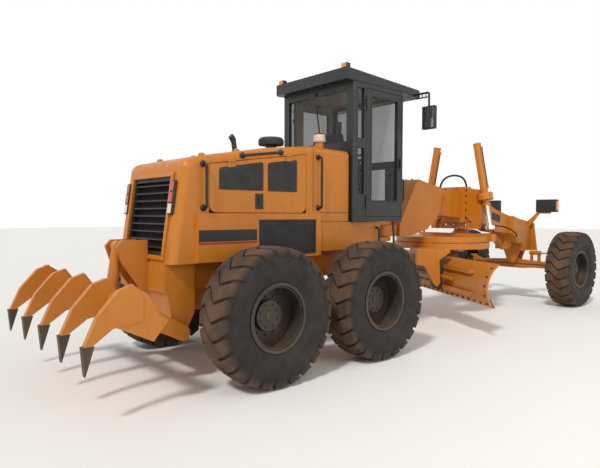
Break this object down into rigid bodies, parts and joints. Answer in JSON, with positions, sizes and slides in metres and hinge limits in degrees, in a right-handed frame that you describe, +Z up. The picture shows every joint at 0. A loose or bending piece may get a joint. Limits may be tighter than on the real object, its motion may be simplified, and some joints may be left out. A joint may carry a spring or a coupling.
{
  "type": "motor grader",
  "caption": "Articulated road grader: cab and engine on tandem wheels, a long front frame with a turning blade, leaning steered front wheels and a rear ripper.",
  "frame": {"origin": "on the ground, in the middle of the machine's length and width", "axes": "+X to the machine's right, +Y forwards, +Z up"},
  "size_m": [3.2832, 9.429, 3.461],
  "materials": {
    "paint": "semi-gloss industrial yellow",
    "black": "satin black",
    "steel": "dark worn steel",
    "rims": "dusty dark grey",
    "tyre": "matt, a little dusty",
    "rod": "polished",
    "glass": "tinted",
    "seat": "woven",
    "lamp": "red lenses"
  },
  "bodies": {
    "rear": {"rear_frame": "paint", "rear_axle": "paint", "hood": "paint", "grilles": "black", "engine": "steel", "cab_shell": "black", "cab_glass": "glass", "seat": "seat", "console": "black", "handrails": "black", "stacks": "black", "rear_lamps": "lamp"},
    "front": {"front_frame": "paint", "saddle": "paint", "headlamps": "black"},
    "axle": {"front_axle": "paint"},
    "lean_rod": {"lean_rod": "rod"},
    "lean_link": {"lean_link": "paint"},
    "tie_rod": {"tie_rod": "steel"},
    "drawbar": {"drawbar": "paint"},
    "circle": {"circle": "paint"},
    "carrier": {"blade_carrier": "steel"},
    "blade": {"moldboard": "paint", "cutting_edge": "steel"},
    "tilt_barrels": {"tilt_barrels": "paint"},
    "tilt_rods": {"tilt_rods": "rod"},
    "ripper": {"ripper": "paint", "ripper_teeth": "steel"},
    "ripper_barrel": {"ripper_barrel": "paint"},
    "ripper_rod": {"ripper_rod": "rod"},
    "tandem_left": {"tandem_left": "paint"},
    "wheel_rear_left": {"tyre_rear_left": "tyre", "rim_rear_left": "rims"},
    "wheel_middle_left": {"tyre_middle_left": "tyre", "rim_middle_left": "rims"},
    "wheel_front_left": {"tyre_front_left": "tyre", "rim_front_left": "rims"},
    "lean_left": {"lean_bracket_left": "paint"},
    "knuckle_left": {"knuckle_left": "steel"},
    "lift_barrel_left": {"lift_barrel_left": "paint"},
    "lift_rod_left": {"lift_rod_left": "rod"},
    "hood_door_left": {"hood_door_left": "paint"},
    "cab_door_left": {"cab_door_left": "black", "door_glass_left": "glass"},
    "tandem_right": {"tandem_right": "paint"},
    "wheel_rear_right": {"tyre_rear_right": "tyre", "rim_rear_right": "rims"},
    "wheel_middle_right": {"tyre_middle_right": "tyre", "rim_middle_right": "rims"},
    "wheel_front_right": {"tyre_front_right": "tyre", "rim_front_right": "rims"},
    "lean_right": {"lean_bracket_right": "paint"},
    "knuckle_right": {"knuckle_right": "steel"},
    "lift_barrel_right": {"lift_barrel_right": "paint"},
    "lift_rod_right": {"lift_rod_right": "rod"},
    "hood_door_right": {"hood_door_right": "paint"},
    "cab_door_right": {"cab_door_right": "black", "door_glass_right": "glass"}
  },
  "joints": [
    {"name": "tandem_left", "type": "hinge", "parent": "rear", "child": "tandem_left", "pos_m": [0, -2.1795, 0.674], "axis": [1, 0, 0], "range_deg": [-15, 15]},
    {"name": "wheel_rear_left", "type": "hinge", "parent": "tandem_left", "child": "wheel_rear_left", "pos_m": [-1.078, -2.9495, 0.674], "axis": [1, 0, 0], "continuous": true},
    {"name": "wheel_middle_left", "type": "hinge", "parent": "tandem_left", "child": "wheel_middle_left", "pos_m": [-1.078, -1.4095, 0.674], "axis": [1, 0, 0], "continuous": true},
    {"name": "tandem_right", "type": "hinge", "parent": "rear", "child": "tandem_right", "pos_m": [0, -2.1795, 0.674], "axis": [1, 0, 0], "range_deg": [-15, 15]},
    {"name": "wheel_rear_right", "type": "hinge", "parent": "tandem_right", "child": "wheel_rear_right", "pos_m": [1.078, -2.9495, 0.674], "axis": [1, 0, 0], "continuous": true},
    {"name": "wheel_middle_right", "type": "hinge", "parent": "tandem_right", "child": "wheel_middle_right", "pos_m": [1.078, -1.4095, 0.674], "axis": [1, 0, 0], "continuous": true},
    {"name": "articulation", "type": "hinge", "parent": "rear", "child": "front", "pos_m": [0, 0.0005, 1.4], "axis": [0, 0, 1], "range_deg": [-25, 25]},
    {"name": "axle_oscillation", "type": "hinge", "parent": "front", "child": "axle", "pos_m": [0, 4.0405, 0.76], "axis": [0, 1, 0], "range_deg": [-15, 15]},
    {"name": "lean_right", "type": "hinge", "parent": "axle", "child": "lean_right", "pos_m": [0.78, 4.0405, 0.71], "axis": [0, 1, 0], "range_deg": [-17, 17]},
    {"name": "lean_left", "type": "hinge", "parent": "axle", "child": "lean_left", "pos_m": [-0.78, 4.0405, 0.71], "axis": [0, 1, 0], "range_deg": [-17, 17]},
    {"name": "lean_cylinder", "type": "slide", "parent": "axle", "child": "lean_rod", "axis": [1, 0, 0], "range_m": [-0.06435, 0.06435]},
    {"name": "lean_tie", "type": "slide", "parent": "axle", "child": "lean_link", "axis": [1, 0, 0], "range_m": [-0.02177, 0.02177]},
    {"name": "steer_right", "type": "hinge", "parent": "lean_right", "child": "knuckle_right", "pos_m": [0.91, 4.0405, 0.71], "axis": [0, 0, 1], "range_deg": [-45, 45]},
    {"name": "wheel_front_right", "type": "hinge", "parent": "knuckle_right", "child": "wheel_front_right", "pos_m": [1.078, 4.0405, 0.674], "axis": [1, 0, 0], "continuous": true},
    {"name": "steer_left", "type": "hinge", "parent": "lean_left", "child": "knuckle_left", "pos_m": [-0.91, 4.0405, 0.71], "axis": [0, 0, 1], "range_deg": [-45, 45]},
    {"name": "wheel_front_left", "type": "hinge", "parent": "knuckle_left", "child": "wheel_front_left", "pos_m": [-1.078, 4.0405, 0.674], "axis": [1, 0, 0], "continuous": true},
    {"name": "tie_rod", "type": "slide", "parent": "axle", "child": "tie_rod", "axis": [1, 0, 0], "range_m": [-0.12352, 0.12352]},
    {"name": "drawbar_lift", "type": "hinge", "parent": "front", "child": "drawbar", "pos_m": [0, 3.4705, 1.1], "axis": [1, 0, 0], "range_deg": [0, 18]},
    {"name": "lift_barrel_right", "type": "hinge", "parent": "front", "child": "lift_barrel_right", "pos_m": [0.54, 1.9405, 1.94], "axis": [-0.1936, 0.9804, -0.0358], "range_deg": [0, 5.96]},
    {"name": "lift_rod_right", "type": "slide", "parent": "lift_barrel_right", "child": "lift_rod_right", "axis": [0.1821, 0, -0.9833], "range_m": [0, 0.48355]},
    {"name": "lift_barrel_left", "type": "hinge", "parent": "front", "child": "lift_barrel_left", "pos_m": [-0.54, 1.9405, 1.94], "axis": [-0.1936, -0.9804, 0.0358], "range_deg": [0, 5.96]},
    {"name": "lift_rod_left", "type": "slide", "parent": "lift_barrel_left", "child": "lift_rod_left", "axis": [-0.1821, 0, -0.9833], "range_m": [0, 0.48355]},
    {"name": "circle_turn", "type": "hinge", "parent": "drawbar", "child": "circle", "pos_m": [0, 1.5205, 1.275], "axis": [0, 0, 1], "continuous": true},
    {"name": "blade_pitch", "type": "hinge", "parent": "circle", "child": "carrier", "pos_m": [-0.24431, 1.08425, 0.635], "axis": [0.8725, -0.4886, 0], "range_deg": [-30, 10]},
    {"name": "side_shift", "type": "slide", "parent": "carrier", "child": "blade", "axis": [0.8725, -0.4886, 0], "range_m": [-0.69, 0.41]},
    {"name": "tilt_barrels", "type": "hinge", "parent": "circle", "child": "tilt_barrels", "pos_m": [-0.38112, 0.83995, 0.945], "axis": [0.8725, -0.4886, 0], "range_deg": [-8.61, 2.88]},
    {"name": "tilt_rods", "type": "slide", "parent": "tilt_barrels", "child": "tilt_rods", "axis": [0.4886, 0.8725, 0], "range_m": [-0.05272, 0.15617]},
    {"name": "ripper_lower", "type": "hinge", "parent": "rear", "child": "ripper", "pos_m": [0, -3.5795, 0.51], "axis": [1, 0, 0], "range_deg": [0, 36]},
    {"name": "ripper_barrel", "type": "hinge", "parent": "rear", "child": "ripper_barrel", "pos_m": [0, -3.9795, 1.33], "axis": [1, 0, 0], "range_deg": [0, 0.579]},
    {"name": "ripper_rod", "type": "slide", "parent": "ripper_barrel", "child": "ripper_rod", "axis": [0, -0.1618, -0.9868], "range_m": [0, 0.33652]},
    {"name": "hood_door_right", "type": "hinge", "parent": "rear", "child": "hood_door_right", "pos_m": [0.609, -3.3095, 2.138], "axis": [0, -0.9897, -0.1431], "range_deg": [0, 80]},
    {"name": "cab_door_right", "type": "hinge", "parent": "rear", "child": "cab_door_right", "pos_m": [0.669, -1.0975, 2.4], "axis": [0, 0, -1], "range_deg": [0, 95]},
    {"name": "hood_door_left", "type": "hinge", "parent": "rear", "child": "hood_door_left", "pos_m": [-0.609, -3.3095, 2.138], "axis": [0, 0.9897, 0.1431], "range_deg": [0, 80]},
    {"name": "cab_door_left", "type": "hinge", "parent": "rear", "child": "cab_door_left", "pos_m": [-0.669, -1.0975, 2.4], "axis": [0, 0, 1], "range_deg": [0, 95]}
  ],
  "couplings": [
    {"joint": "lean_left", "follows": "lean_right", "ratio": 1},
    {"joint": "lean_cylinder", "follows": "lean_right", "m_per_rad": 0.2135},
    {"joint": "lean_tie", "follows": "lean_right", "m_per_rad": -0.0697},
    {"joint": "steer_left", "follows": "steer_right", "ratio": 1},
    {"joint": "tie_rod", "follows": "steer_right", "m_per_rad": 0.156},
    {"joint": "lift_barrel_right", "follows": "drawbar_lift", "ratio": 0.3301},
    {"joint": "lift_rod_right", "follows": "drawbar_lift", "m_per_rad": 1.536},
    {"joint": "lift_barrel_left", "follows": "drawbar_lift", "ratio": 0.3301},
    {"joint": "lift_rod_left", "follows": "drawbar_lift", "m_per_rad": 1.536},
    {"joint": "tilt_barrels", "follows": "blade_pitch", "ratio": 0.2863},
    {"joint": "tilt_rods", "follows": "blade_pitch", "m_per_rad": -0.29636},
    {"joint": "ripper_barrel", "follows": "ripper_lower", "ratio": 0.0147},
    {"joint": "ripper_rod", "follows": "ripper_lower", "m_per_rad": 0.534}
  ]
}
